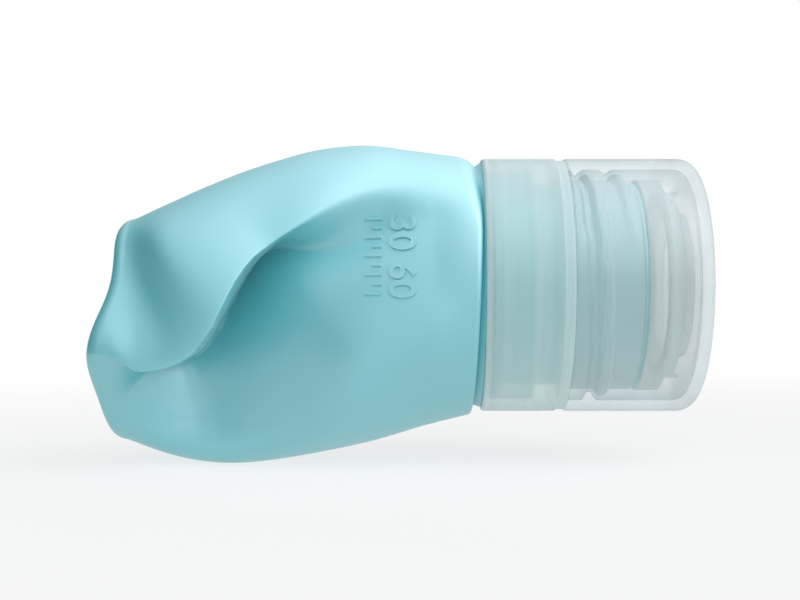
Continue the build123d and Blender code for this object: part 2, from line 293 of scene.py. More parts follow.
def add_cloud(finish, scale, first, second):
    """Faint cloud of two near colours."""
    cloud = noise(finish, scale, CLOUD_DETAIL)
    ramp = finish.node("ShaderNodeValToRGB")
    for mark, position, colour in zip(ramp.color_ramp.elements, CLOUD_EDGES, (first, second)):
        mark.position = position
        mark.color = (*colour, 1)
    finish.link(cloud.outputs["Fac"], ramp.inputs["Fac"])
    finish.link(ramp.outputs["Color"], finish.shader.inputs["Base Color"])


def silicone_finish():
    """Soft satin silicone: a little light passes into it, and a fine bloom lies on it."""
    finish = Finish("teal_silicone")
    colour = colours()
    add_cloud(finish, SILICONE_CLOUD_SCALE, colour.silicone, colour.silicone_shade)
    finish.set(
        Roughness=0.5,
        IOR=1.41,
        Coat_Weight=1.0,
        Coat_Roughness=0.5,
        Coat_IOR=2.8,
        Subsurface_Weight=0.18,
        Subsurface_Radius=(0.6, 1.0, 1.0),
        Subsurface_Scale=1.2 * MM,
        Sheen_Weight=0.1,
        Sheen_Roughness=0.5,
        Sheen_Tint=(0.86, 0.93, 1.0, 1),
    )
    add_grain(finish, SILICONE_GRAIN_SCALE, 0.12)
    return finish.material


def along_axis(finish, stops):
    """Value that follows stops, given as (place along X in millimetres, value), along the bottle's axis."""
    place = finish.node("ShaderNodeTexCoord")
    parts = finish.node("ShaderNodeSeparateXYZ")
    span = finish.node("ShaderNodeMapRange")
    first, last = stops[0][0], stops[-1][0]
    span.inputs["From Min"].default_value = first * MM
    span.inputs["From Max"].default_value = last * MM
    ramp = finish.node("ShaderNodeValToRGB")
    marks = ramp.color_ramp.elements
    while len(marks) < len(stops):
        marks.new(0.5)
    for mark, (x, value) in zip(marks, stops):
        mark.position = (x - first) / (last - first)
        mark.color = (value, value, value, 1)
    finish.link(place.outputs["Object"], parts.inputs["Vector"])
    finish.link(parts.outputs["X"], span.inputs["Value"])
    finish.link(span.outputs["Result"], ramp.inputs["Fac"])
    return ramp.outputs["Color"]


def plastic_finish(
    name, milk_colours, passing_colours, *, centre, edge, roughness, grain, edge_gloss, milk_stops=None,
    painted_shade_stops=None,
):
    """See-through plastic: its share of milk grows from centre, seen square on, to edge, seen along the wall.

    The rest lets light pass straight through, in the first passing colour square on and the second along
    the wall, and the surface keeps its gloss. milk_stops add milk along the bottle's axis where the wall is
    thick, and the stops that hold back the passing light along the axis darken it there as painted shade."""
    finish = Finish(name)
    facing = finish.node("ShaderNodeLayerWeight")
    facing.inputs["Blend"].default_value = 0.5
    milk = milk_shader(finish, milk_colours, roughness, grain)
    passing = passing_shader(finish, facing, passing_colours, painted_shade_stops)
    share = finish.node("ShaderNodeMapRange")
    share.inputs["To Min"].default_value = centre
    share.inputs["To Max"].default_value = edge
    finish.link(facing.outputs["Facing"], share.inputs["Value"])
    milk_share = share.outputs["Result"]
    if milk_stops:
        more = finish.node("ShaderNodeMath", operation="ADD")
        more.use_clamp = True
        finish.link(milk_share, more.inputs[0])
        finish.link(along_axis(finish, milk_stops), more.inputs[1])
        milk_share = more.outputs["Value"]
    body = finish.mixed(milk_share, passing.outputs["BSDF"], milk.outputs["Shader"])
    steep = finish.node("ShaderNodeMath", operation="POWER")
    steep.inputs[1].default_value = GLOSS_STEEPNESS
    mirror = finish.node("ShaderNodeMapRange")
    mirror.inputs["To Min"].default_value = SQUARE_ON_GLOSS
    mirror.inputs["To Max"].default_value = edge_gloss
    gloss = finish.node("ShaderNodeBsdfGlossy")
    gloss.inputs["Roughness"].default_value = roughness
    finish.link(facing.outputs["Facing"], steep.inputs[0])
    finish.link(steep.outputs["Value"], mirror.inputs["Value"])
    coat = finish.mixed(mirror.outputs["Result"], body.outputs["Shader"], gloss.outputs["BSDF"])
    finish.link(coat.outputs["Shader"], finish.output.inputs["Surface"])
    return finish.material


def milk_shader(finish, milk_colours, roughness, grain):
    """The milk in the plastic: partly a satin face, partly light scattered through."""
    add_cloud(finish, PLASTIC_CLOUD_SCALE, *milk_colours)
    finish.set(Roughness=roughness, IOR=1.45)
    add_grain(finish, PLASTIC_GRAIN_SCALE, grain)
    glow = finish.node("ShaderNodeBsdfTranslucent")
    glow.inputs["Color"].default_value = (*milk_colours[0], 1)
    milk = finish.mixed(None, finish.shader.outputs["BSDF"], glow.outputs["BSDF"])
    milk.inputs["Fac"].default_value = SCATTERED_SHARE
    return milk


def passing_shader(finish, facing, passing_colours, painted_shade_stops):
    """Light that passes straight through, less of it along the wall, and less again where the stops along the
    axis paint shade into it.
    """
    depth = finish.node("ShaderNodeValToRGB")
    depth.color_ramp.elements[0].position = PASSING_START
    for mark, colour in zip(depth.color_ramp.elements, passing_colours):
        mark.color = (*colour, 1)
    passing = finish.node("ShaderNodeBsdfTransparent")
    finish.link(facing.outputs["Facing"], depth.inputs["Fac"])
    colour = depth.outputs["Color"]
    if painted_shade_stops:
        held = finish.node("ShaderNodeVectorMath", operation="MULTIPLY")
        finish.link(colour, held.inputs[0])
        finish.link(along_axis(finish, painted_shade_stops), held.inputs[1])
        colour = held.outputs["Vector"]
    finish.link(colour, passing.inputs["Color"])
    return passing


def paint(piece, material):
    piece.data.materials.clear()
    piece.data.materials.append(material)


# Mesh tools

# Share of a side that one corner's round may take
ROUND_LIMIT = 0.49
LONGEST_SIDE = 0.35
TURNED_SHARP_DEGREES = 35


def mesh_piece(name, points, faces, sharp_degrees=None):
    """Smooth shaded mesh object from points and faces, with its sharp edges marked."""
    mesh = bpy.data.meshes.new(name)
    mesh.from_pydata([tuple(map(float, point)) for point in points], [], faces)
    mesh.validate()
    face_outwards(mesh)
    mesh.polygons.foreach_set("use_smooth", [True] * len(mesh.polygons))
    if sharp_degrees is not None:
        mesh.set_sharp_from_angle(angle=math.radians(sharp_degrees))
    piece = bpy.data.objects.new(name, mesh)
    bpy.context.scene.collection.objects.link(piece)
    return piece


def face_outwards(mesh):
    """Turn every closed part's faces outwards."""
    work = bmesh.new()
    work.from_mesh(mesh)
    bmesh.ops.recalc_face_normals(work, faces=work.faces)
    work.to_mesh(mesh)
    work.free()


def grid_faces(rings, around, first=0):
    """Quads that join closed rings of points, one ring after another."""
    faces = []
    for ring in range(rings - 1):
        faces += bridge_faces(first + ring * around, first + (ring + 1) * around, around)
    return faces


def fan_faces(first, around, centre):
    """Triangles that close a ring of points onto a centre point."""
    return [(first + step, first + (step + 1) % around, centre) for step in range(around)]


def bridge_faces(first, second, around):
    """Quads that join two rings of points, given by their first points."""
    faces = []
    for step in range(around):
        following = (step + 1) % around
        faces.append((first + step, first + following, second + following, second + step))
    return faces


def rounded_outline(corners, steps):
    """Closed outline of (x, radius, round) corners, with each corner's round as a short arc."""
    outline = []
    count = len(corners)
    for index, (x, r, size) in enumerate(corners):
        here = Vector((x, r))
        if size <= 0:
            outline.append((x, r))
            continue
        before = Vector(corners[index - 1][:2]) - here
        after = Vector(corners[(index + 1) % count][:2]) - here
        half = before.angle(after) / 2
        reach = min(size / math.tan(half), before.length * ROUND_LIMIT, after.length * ROUND_LIMIT)
        radius = reach * math.tan(half)
        centre = here + (before.normalized() + after.normalized()).normalized() * (radius / math.sin(half))
        start = here + before.normalized() * reach - centre
        end = here + after.normalized() * reach - centre
        swing = start.angle_signed(end)
        for step in range(steps + 1):
            turn = -swing * step / steps
            cosine, sine = math.cos(turn), math.sin(turn)
            outline.append(
                (centre.x + start.x * cosine - start.y * sine, centre.y + start.x * sine + start.y * cosine)
            )
    return outline


def divided(outline):
    """Outline with its long sides divided, so that a thread can be raised on them."""
    fine = []
    for (x0, r0), (x1, r1) in zip(outline, outline[1:] + outline[:1]):
        parts = 1 if r0 == r1 == 0 else math.ceil(math.hypot(x1 - x0, r1 - r0) / LONGEST_SIDE)
        fine += [(x0 + (x1 - x0) * part / parts, r0 + (r1 - r0) * part / parts) for part in range(parts)]
    return fine


def turned_piece(name, outline, raise_thread):
    """Ring turned about X from a closed outline, or a cup whose outline starts and ends on the axis.

    The outline is in millimetres, and raise_thread gives extra radius by x, r, angle."""
    around = sizes().turns
    angles = np.arange(around) * 2 * math.pi / around
    on_axis = outline[0][1] == 0
    run = outline[1:-1] if on_axis else outline
    rings = []
    for x, r in run:
        radii = r + raise_thread(x, r, angles)
        rings.append(np.stack([np.full(around, x), radii * np.cos(angles), radii * np.sin(angles)], 1))
    points = np.concatenate(rings)
    faces = grid_faces(len(run), around)
    last = (len(run) - 1) * around
    if on_axis:
        points = np.concatenate([points, [(outline[0][0], 0, 0), (outline[-1][0], 0, 0)]])
        faces += fan_faces(0, around, last + around) + fan_faces(last, around, last + around + 1)
    else:
        faces += bridge_faces(last, 0, around)
    return mesh_piece(name, points * MM, faces, TURNED_SHARP_DEGREES)


# Silicone body: the squeezed wall

# Each row: place along the body from the shoulder, then the reach of its top, bottom, near and far sides
SQUEEZE_SHARES = np.array(
    [
        (0.00, 0.97, 0.98, 0.97, 0.97),
        (0.12, 1.01, 1.06, 0.98, 0.95),
        (0.26, 1.05, 1.17, 0.97, 0.90),
        (0.40, 1.02, 1.25, 0.95, 0.86),
        (0.54, 0.94, 1.31, 0.95, 0.84),
        (0.68, 0.84, 1.34, 0.96, 0.84),
        (0.80, 0.73, 1.32, 0.98, 0.87),
        (0.90, 0.62, 1.26, 1.00, 0.90),
        (1.00, 0.50, 1.16, 1.00, 0.93),
    ]
)

# The fold's crest on the near side, from its faint end under the shoulder to the base: its place along the
# body, its height as a share of the radius, and how much of its full depth the valley has there
FOLD_CREST_SHARES = np.array(
    [
        (0.160, 0.770, 0.00),
        (0.250, 0.690, 0.26),
        (0.370, 0.555, 0.38),
        (0.470, 0.420, 0.48),
        (0.557, 0.305, 0.64),
        (0.622, 0.107, 0.85),
        (0.700, -0.235, 1.00),
        (0.750, -0.420, 1.00),
        (0.830, -0.500, 0.75),
        (0.930, -0.500, 0.35),
        (1.060, -0.480, 0.10),
    ]
)
CREST_STRETCHES = 40
FOLD_BLUR = 2.2

# The fold across its crest, in millimetres. It is soft where the valley's share of depth is below
# SOFT_SHARE, and sharp above SHARP_SHARE
SOFT_SHARE, SHARP_SHARE = 0.35, 0.65
DROP_START, SOFT_DROP_END, SHARP_DROP_END = -0.6, 7.0, 1.4
VALLEY_REACH, VALLEY_CURVE = 22.0, 1.4
CREST_RISE, CREST_WIDTH = 2.6, 6.0
RIDGE_RISE, RIDGE_WIDTH, RIDGE_SHARE = 2.6, 5.5, 0.6
LIP_REACH, LIP_WIDTH = 2.2, 5.0
SLOPE_STEP = 0.1

# The near side's other forms, in millimetres: middle (x, z), turn in degrees, depth, and widths
FLANK = {"middle": (-77.4, 2.6), "turn": 24.0, "depth": 2.6, "across": 2.6, "along": 9.5}
DENT = {"middle": (-72.0, -17.0), "turn": 0.0, "depth": 3.0, "across": 9.0, "along": 6.5}
HOLLOW = {"middle": (-48.2, 9.5), "turn": 45.0, "depth": 1.6, "across": 8.0, "along": 4.5}
NEAR_SIDE_EDGE = 0.75

# Tilt of the wall's end planes, and how the base's rim is drawn in
SHOULDER_TILT = math.radians(2.0)
BASE_TILT = math.radians(1.0)
SHOULDER_GAP = 0.1
BASE_FOLD_HEIGHT, BASE_FOLD_SLOPE, BASE_FOLD_ROUND, BASE_FOLD_FROM = -8.0, 0.18, 5.0, 0.35
BASE_HOLLOW_HEIGHT, BASE_HOLLOW_DEPTH, BASE_HOLLOW_WIDTH, BASE_HOLLOW_FROM = -0.5, 1.6, 6.0, 0.7
BASE_HOLLOW_EDGE = 0.8

# Points round one section, the parts of them that lie above and below the crest on the near side, and how
# strongly they crowd at it
WALL_FACETS = 264
ABOVE_PARTS, BELOW_PARTS, ALL_PARTS = 3, 5, 11
CROWDING = 1.4


def mound(distance, width):
    """1 in the middle, falling off softly over the width."""
    return np.exp(-((distance / width) ** 2))


def smooth(low, high, value):
    """0 below low, 1 above high, and a smooth step between."""
    part = np.clip((value - low) / (high - low), 0, 1)
    return part * part * (3 - 2 * part)


def row_at(table, along):
    """Row of a table at any place along the body, on a smooth run through the table's rows."""
    last = len(table) - 1
    after = int(np.clip(np.searchsorted(table[:, 0], along), 1, last))
    first, second = table[after - 1], table[after]
    behind, ahead = table[max(after - 2, 0)], table[min(after + 1, last)]
    step = second[0] - first[0]
    part = (along - first[0]) / step
    slope_first = (second - behind) / (second[0] - behind[0]) * step
    slope_second = (ahead - first) / (ahead[0] - first[0]) * step
    rise = second - first
    cubic = slope_first + slope_second - 2 * rise
    square = 3 * rise - 2 * slope_first - slope_second
    return first + part * (slope_first + part * (square + part * cubic))


def shoulder_place():
    """Place of the body's shoulder along X, in millimetres."""
    return COLLAR_LOW.x - SHOULDER_GAP - sizes().body_radius / MM * math.tan(SHOULDER_TILT)


def crest_line():
    """The fold's crest as points (x, z, share of the valley's depth), in millimetres."""
    places = np.linspace(FOLD_CREST_SHARES[0, 0], FOLD_CREST_SHARES[-1, 0], CREST_STRETCHES + 1)
    rows = np.array([row_at(FOLD_CREST_SHARES, place) for place in places])
    length, radius = sizes().body_length / MM, sizes().body_radius / MM
    return np.stack([shoulder_place() - length * places, radius * rows[:, 1], rows[:, 2]], 1)


def fold_place(x, z):
    """Signed distance from the fold's crest, positive below it, and the valley's share of depth there.

    Each stretch of the crest counts by its nearness, which keeps the field smooth where the crest bends."""
    distances, signs, shares = [], [], []
    line = crest_line()
    for start, end in zip(line, line[1:]):
        run = end[:2] - start[:2]
        length = math.hypot(*run)
        part = np.clip(((x - start[0]) * run[0] + (z - start[1]) * run[1]) / length**2, 0, 1)
        distances.append(np.hypot(x - (start[0] + run[0] * part), z - (start[1] + run[1] * part)))
        signs.append((run[0] * (z - start[1]) - run[1] * (x - start[0])) / length)
        shares.append(start[2] + (end[2] - start[2]) * part)
    distances = np.array(distances)
    weights = np.exp(-(distances - distances.min(axis=0)) / FOLD_BLUR)
    weights /= weights.sum(axis=0)
    return (weights * signs).sum(axis=0), (weights * shares).sum(axis=0)


def turned_place(x, z, form):
    """Place across and along a form whose middle and turn are given."""
    middle_x, middle_z = form["middle"]
    turn = math.radians(form["turn"])
    across = (x - middle_x) * math.cos(turn) + (z - middle_z) * math.sin(turn)
    along = (x - middle_x) * math.sin(turn) - (z - middle_z) * math.cos(turn)
    return across, along


def sunk(x, z, form):
    """How deep an oval hollow is at a place."""
    across, along = turned_place(x, z, form)
    return form["depth"] * mound(across, form["across"]) * mound(along, form["along"])


def near_relief(x, z):
    """How far the near side stands out at a place, in millimetres: the fold, its valley and the dents."""
    signed, share = fold_place(x, z)
    drop_end = SOFT_DROP_END - (SOFT_DROP_END - SHARP_DROP_END) * smooth(SOFT_SHARE, SHARP_SHARE, share)
    drop = smooth(DROP_START, drop_end, signed)
    floor = np.clip(1 - signed / VALLEY_REACH, 0, 1) ** VALLEY_CURVE
    valley = share * sizes().fold_depth / MM * drop * floor
    crest = CREST_RISE * share * mound(np.minimum(signed, 0), CREST_WIDTH) * (1 - drop)
    ridge = RIDGE_RISE * np.minimum(share, RIDGE_SHARE) * mound(signed - VALLEY_REACH, RIDGE_WIDTH)
    across, along = turned_place(x, z, FLANK)
    flank = FLANK["depth"] * (1 - np.tanh(across / FLANK["across"])) * mound(along, FLANK["along"])
    return crest + ridge - valley - flank - sunk(x, z, DENT) - sunk(x, z, HOLLOW)


def overhang(x, z):
    """How far the fold's lip leans out over its valley along X and Z, in millimetres."""
    signed, share = fold_place(x, z)
    lean_x = (fold_place(x + SLOPE_STEP, z)[0] - signed) / SLOPE_STEP
    lean_z = (fold_place(x, z + SLOPE_STEP)[0] - signed) / SLOPE_STEP
    drop = smooth(DROP_START, SHARP_DROP_END, signed)
    sharp = smooth(SOFT_SHARE, SHARP_SHARE, share)
    reach = LIP_REACH * sharp * mound(np.minimum(signed, 0), LIP_WIDTH) * (1 - drop)
    return reach * lean_x, reach * lean_z


def wall_angles(along):
    """Angles round one section, from its top. They crowd at the fold's crest, so that the faces follow it."""
    _, top, bottom, _, _ = row_at(SQUEEZE_SHARES, along)
    crest = row_at(FOLD_CREST_SHARES, max(along, FOLD_CREST_SHARES[0, 0]))[1]
    crest_angle = math.acos((crest - (top - bottom) / 2) / ((top + bottom) / 2))
    above, below = WALL_FACETS * ABOVE_PARTS // ALL_PARTS, WALL_FACETS * BELOW_PARTS // ALL_PARTS
    far = WALL_FACETS - above - below
    return np.concatenate(
        [
            crest_angle * (1 - (1 - np.arange(above) / above) ** CROWDING),
            crest_angle + (math.pi - crest_angle) * (np.arange(below) / below) ** CROWDING,
            math.pi + math.pi * np.arange(far) / far,
        ]
    )


def wall_points(along):
    """Points of one section of the outer wall, in millimetres, before its tilt and place along X."""
    _, top, bottom, near, far = row_at(SQUEEZE_SHARES, along)
    radius = sizes().body_radius / MM
    angle = wall_angles(along)
    middle = (top - bottom) / 2
    half_height = (top + bottom) / 2
    depth = np.where(np.sin(angle) > 0, near, far) * np.sin(angle)
    height = middle + half_height * np.cos(angle)
    return depth * radius, height * radius, middle * radius, np.sin(angle)


def base_bend(along, z, outward):
    """How far the base's rim is drawn in: above and below its fold, and where the near side hollows."""
    off = z - BASE_FOLD_HEIGHT
    drawn = BASE_FOLD_SLOPE * (np.sqrt(off**2 + BASE_FOLD_ROUND**2) - BASE_FOLD_ROUND)
    hollow = BASE_HOLLOW_DEPTH * mound(z - BASE_HOLLOW_HEIGHT, BASE_HOLLOW_WIDTH)
    hollow = hollow * smooth(0, BASE_HOLLOW_EDGE, outward)
    return drawn * smooth(BASE_FOLD_FROM, 1, along) + hollow * smooth(BASE_HOLLOW_FROM, 1, along)


def section(x, along, inset=0.0, relief=1.0):
    """Ring of points in millimetres at x: squeezed, set in by inset, with the near side's relief."""
    depth, height, middle, outward = wall_points(along)
    keep = 1 - inset / np.hypot(depth, height - middle)
    depth, height = depth * keep, middle + (height - middle) * keep
    tilt = SHOULDER_TILT + (BASE_TILT - SHOULDER_TILT) * along
    place = x + height * math.sin(tilt) + base_bend(along, height, outward)
    near_side = smooth(0, NEAR_SIDE_EDGE, outward) * relief
    stands = near_relief(place, height) * near_side
    lean_x, lean_z = overhang(place, height)
    return np.stack(
        [place + lean_x * near_side, -(depth + stands), height * math.cos(tilt) + lean_z * near_side], 1
    )


# The neck, its lip and its flange, and the land that fills the gap to the collar, in millimetres
NECK_RADIUS, NECK_BORE, NECK_EDGE = 14.55, 12.75, 0.15
LIP_RADIUS, LIP_LENGTH, LIP_EDGE = 14.75, 0.7, 0.12
FLANGE_ABOVE, FLANGE_WIDTH, FLANGE_RADIUS, FLANGE_EDGE = 0.9, 1.3, 16.65, 0.25
LAND_RADIUS, LAND_GAP, LAND_EDGE = 17.9, 0.05, 0.15

# Rounds of the shoulder, fuller at its top, and of the base, and the stretches that they are drawn in
SHOULDER_ROUND, SHOULDER_TOP_ROUND, SHOULDER_TOP_FROM = 0.7, 4.0, 0.35
BASE_ROUND = 1.8
ROUND_STEPS, WALL_SPANS, INSIDE_SPANS = 8, 170, 40
RELIEF_FADE = 0.12
BASE_RIM_INSETS = (0.2, 0.35, 0.5, 0.65, 0.8, 0.92)

# Where the inside's wall starts under the shoulder and ends over the base
INSIDE_START, INSIDE_END = 2.4, 2.6
BODY_SHARP_DEGREES = 60


def upright_ring(x, radius):
    """Round ring of points about the bottle's axis, with the angles of the wall's first section."""
    angle = wall_angles(0)
    return np.stack([np.full(WALL_FACETS, x), -radius * np.sin(angle), radius * np.cos(angle)], 1)


def neck_rings():
    """Rings of the neck from its lip down to the land under the collar's foot."""
    foot = COLLAR_LOW.x
    lip_foot = LIP_END - LIP_LENGTH
    flange_foot = foot + FLANGE_ABOVE
    flange_end = flange_foot + FLANGE_WIDTH
    return [
        upright_ring(x, radius)
        for x, radius in (
            (LIP_END, NECK_BORE + NECK_EDGE),
            (LIP_END, LIP_RADIUS - LIP_EDGE),
            (LIP_END - LIP_EDGE, LIP_RADIUS),
            (lip_foot + LIP_EDGE, LIP_RADIUS),
            (lip_foot, LIP_RADIUS - LIP_EDGE),
            (lip_foot, NECK_RADIUS),
            (flange_end, NECK_RADIUS),
            (flange_end, FLANGE_RADIUS - FLANGE_EDGE),
            (flange_end - FLANGE_EDGE, FLANGE_RADIUS),
            (flange_foot + FLANGE_EDGE, FLANGE_RADIUS),
            (flange_foot, FLANGE_RADIUS - FLANGE_EDGE),
            (flange_foot, NECK_RADIUS),
            (foot - LAND_GAP, NECK_RADIUS),
            (foot - LAND_GAP, LAND_RADIUS - LAND_EDGE),
            (foot - LAND_GAP - LAND_EDGE, LAND_RADIUS),
        )
    ]


def shoulder_rings():
    """Rings of the round from the land to the wall, and how far it reaches down the wall."""
    shoulder = shoulder_place()
    fullness = smooth(SHOULDER_TOP_FROM, 1, np.cos(wall_angles(0)))
    radius = SHOULDER_ROUND + (SHOULDER_TOP_ROUND - SHOULDER_ROUND) * fullness
    land_inset = sizes().body_radius / MM - LAND_RADIUS
    first_turn = np.arcsin(np.clip(1 - land_inset / radius, 0, 1))
    rings = [section(shoulder - radius * (1 - np.cos(first_turn)), 0, land_inset, 0)]
    for step in range(ROUND_STEPS):
        turn = first_turn + (math.pi / 2 - first_turn) * step / ROUND_STEPS
        x = shoulder - radius * (1 - np.cos(turn))
        rings.append(section(x, 0, radius * (1 - np.sin(turn)), 0))
    return rings, radius


def base_rings(last):
    """Rings of the round from the wall's last ring to the base, and over the base."""
    rings = []
    for step in range(1, ROUND_STEPS + 1):
        turn = math.pi / 2 * step / ROUND_STEPS
        rings.append(section(last - BASE_ROUND * math.sin(turn), 1, BASE_ROUND * (1 - math.cos(turn))))
    rim = rings[-1]
    centre = rim.mean(axis=0)
    return rings + [centre + (rim - centre) * (1 - inset) for inset in BASE_RIM_INSETS]


def outer_rings():
    """Rings of the silicone piece from the lip at the neck's end out over the wall to the base."""
    rings, first_round = shoulder_rings()
    first = shoulder_place() - first_round
    last = shoulder_place() - sizes().body_length / MM + BASE_ROUND
    for span in range(WALL_SPANS + 1):
        along = span / WALL_SPANS
        x = first + (last - first) * along
        rings.append(section(x, along, relief=smooth(0, RELIEF_FADE, along)))
    return neck_rings() + rings + base_rings(last)


def inner_rings():
    """Rings of the silicone piece's inside, from the base up to the neck's lip."""
    first = shoulder_place() - INSIDE_START
    last = shoulder_place() - sizes().body_length / MM + INSIDE_END
    rings = []
    for span in range(INSIDE_SPANS + 1):
        along = 1 - span / INSIDE_SPANS
        rings.append(section(first + (last - first) * along, along, sizes().wall / MM))
    bore_places = (first, COLLAR_LOW.x + FLANGE_ABOVE, LIP_END - NECK_EDGE)
    return rings + [upright_ring(x, NECK_BORE) for x in bore_places]


class BOTTLE_OT_body(bpy.types.Operator):
    """Model the squeezed silicone body with its neck, and put it in place of the plain solid."""

    bl_idname = "bottle.body"
    bl_label = "Silicone body"

    def execute(self, context):
        outside, inside = outer_rings(), inner_rings()
        base_centre = outside[-1].mean(axis=0)
        inner_centre = inside[0].mean(axis=0)
        points = np.concatenate([*outside, base_centre[None], *inside, inner_centre[None]]) * MM
        base_index = len(outside) * WALL_FACETS
        first = base_index + 1
        centre_index = first + len(inside) * WALL_FACETS
        faces = grid_faces(len(outside), WALL_FACETS)
        faces += fan_faces(base_index - WALL_FACETS, WALL_FACETS, base_index)
        faces += grid_faces(len(inside), WALL_FACETS, first)
        faces += fan_faces(first, WALL_FACETS, centre_index)
        faces += bridge_faces(centre_index - WALL_FACETS, 0, WALL_FACETS)
        body = mesh_piece("squeezed_bottle", points, faces, BODY_SHARP_DEGREES)
        paint(body, silicone_finish())
        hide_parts("squeeze_body")
        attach(body, "bottle")
        return {"FINISHED"}


class BOTTLE_OT_fill_marks(bpy.types.Operator):
    """Raise a plain scale on the near side: a row of numbers and a row of ticks that follow the wall."""

    bl_idname = "bottle.fill_marks"
    bl_label = "Fill marks"

    def execute(self, context):
        body = bpy.data.objects["squeezed_bottle"]
        wall = BVHTree.FromPolygons(
            [vertex.co for vertex in body.data.vertices], [face.vertices for face in body.data.polygons]
        )
        points, faces = [], []
        for outline_points, outline_faces in [number_row(), *tick_row()]:
            first = len(points)
            for across, down, up in outline_points:
                place = Vector(((MARKS_X + across) * MM, RAY_START, (MARKS_Z - down) * MM))
                hit, normal, _, _ = wall.ray_cast(place, Vector((0, 1, 0)))
                if hit is None:
                    raise RuntimeError("a fill mark falls beside the wall")
                points.append(hit + normal * (up * sizes().mark_height - MARK_ROOT))
            faces += [tuple(first + index for index in face) for face in outline_faces]
        marks = mesh_piece("fill_marks", points, faces, MARK_SHARP_DEGREES)
        paint(marks, body.data.materials[0])
        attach(marks, "bottle")
        return {"FINISHED"}


# Middle of the fill marks, in millimetres, and how they are laid on the wall, in metres
MARKS_X, MARKS_Z = -44.9, 3.8
RAY_START, MARK_ROOT = -0.1, 0.03 * MM
MARK_SHARP_DEGREES = 50

# Numbers and ticks, in millimetres. TEXT_SHARE is the text size that gives a figure a height of 1
SCALE_TEXT = "30 60"
NUMBER_HEIGHT, TEXT_SHARE, ROW_GAP = 3.7, 1.38, 1.1
NUMBER_THICKNESS, NUMBER_FATTENED, NUMBER_BEVEL, NUMBER_TOP = 0.5, 0.02, 0.1, 0.3
TICKS, TICK_STEP, LONG_TICK, SHORT_TICK = 9, 1.3, 2.4, 1.4
TICK_FOOT, TICK_TOP, TICK_END = 0.27, 0.13, 0.1


def number_row():
    """Numbers of the scale as points (across, down, up) and faces: their tops point to the cap."""
    text = bpy.data.curves.new("scale_numbers", "FONT")
    text.body = SCALE_TEXT
    text.align_x = "CENTER"
    text.size = NUMBER_HEIGHT * TEXT_SHARE
    text.extrude = NUMBER_THICKNESS
    text.offset = NUMBER_FATTENED
    text.bevel_depth = NUMBER_BEVEL
    text.bevel_resolution = 1
    text.resolution_u = 4
    holder = bpy.data.objects.new("scale_numbers", text)
    mesh = holder.to_mesh()
    points = [
        (vertex.co.y + ROW_GAP / 2, vertex.co.x, float(vertex.co.z > NUMBER_TOP)) for vertex in mesh.vertices
    ]
    faces = [tuple(face.vertices) for face in mesh.polygons]
    holder.to_mesh_clear()
    bpy.data.objects.remove(holder)
    return points, faces


def tick_row():
    """Ticks of the scale, every second one long, as points and faces like those of the numbers."""
    ticks = []
    for index in range(TICKS):
        down = (index - TICKS // 2) * TICK_STEP
        far = -ROW_GAP / 2
        near = far - (LONG_TICK if index % 2 == 0 else SHORT_TICK)
        points = [(x, down + side * TICK_FOOT, 0.0) for x in (near, far) for side in (-1, 1)]
        tops = (near + TICK_END, far - TICK_END)
        points += [(x, down + side * TICK_TOP, 1.0) for x in tops for side in (-1, 1)]
        faces = [(4, 5, 7, 6), (0, 1, 5, 4), (2, 6, 7, 3), (0, 4, 6, 2), (1, 3, 7, 5)]
        ticks.append((points, faces))
    return ticks


# Collar and cap


# Threads, in millimetres: the tooth's start and end along X, its middle's place at half a turn round the
# bottle (reference), its height, and its width at the foot and at the crest
NECK_THREAD = {"start": -17.28, "end": -10.58, "reference": -14.6, "height": 1.0, "foot": 2.0, "crest": 0.9}
CAP_THREAD = {"start": -17.75, "end": -12.85, "reference": -16.35, "height": 1.2, "foot": 2.0, "crest": 0.9}
THREAD_FADE, THREAD_TURNS = 0.5, 3
ON_WALL = 0.01

# The collar, in millimetres: heights above its foot, and radii
WEB_ABOVE, LAND_ABOVE, RIM_ABOVE = 7.52, 10.72, 12.02
LAND_STEP = 0.25
THREADED_RADIUS, COLLAR_NECK_BORE, SKIRT_BORE = 15.3, 14.6, 16.7
NECK_THREAD_ROOM, NECK_END_ROOM = 9.0, 0.1
COLLAR_STEPS = 4

# The cap, in millimetres: its seal seat and rib, and the room left beside its thread
SEAL_GAP, SEAL_WIDTH, RIB_GAP, RIB_WIDTH = 0.08, 2.1, 0.12, 0.8
CAP_END_FILLET = 1.4
CAP_RIM_ROOM, CAP_END_ROOM = 0.1, 3.0
CAP_STEPS = 10


def thread_rise(start, end, reference, height, foot, crest):
    """Function of x and angles that raises a helical tooth between start and end, in millimetres."""
    pitch = sizes().thread_pitch / MM

    def rise(x, angles):
        middle_turn = reference + pitch * (angles - math.pi) / (2 * math.pi)
        raised = np.zeros(angles.shape)
        for turn in range(-THREAD_TURNS, THREAD_TURNS + 1):
            middle = middle_turn + turn * pitch
            run_in = np.clip((middle - start) / THREAD_FADE, 0, 1)
            run_out = np.clip((end - middle) / THREAD_FADE, 0, 1)
            tooth = np.clip((foot / 2 - np.abs(x - middle)) / ((foot - crest) / 2), 0, 1)
            raised = np.maximum(raised, height * tooth * run_in * run_out)
        return raised

    return rise


def collar_milk(foot):
    """Milk that the collar's thick places add: its foot, the web inside and the land at its rim."""
    web, land, rim = foot + WEB_ABOVE, foot + LAND_ABOVE, foot + RIM_ABOVE
    return (
        (foot, 0.3),
        (foot + 0.7, 0.22),
        (foot + 1.0, 0.0),
        (foot + 1.7, 0.0),
        (foot + 2.6, 0.07),
        (foot + 4.0, 0.0),
        (web - 1.4, 0.0),
        (web - 0.4, 0.12),
        (web + 0.8, 0.1),
        (web + 1.8, 0.02),
        (land - 0.3, 0.05),
        (land + 0.1, 0.28),
        (rim - 0.1, 0.26),
        (rim + 0.2, 0.0),
    )


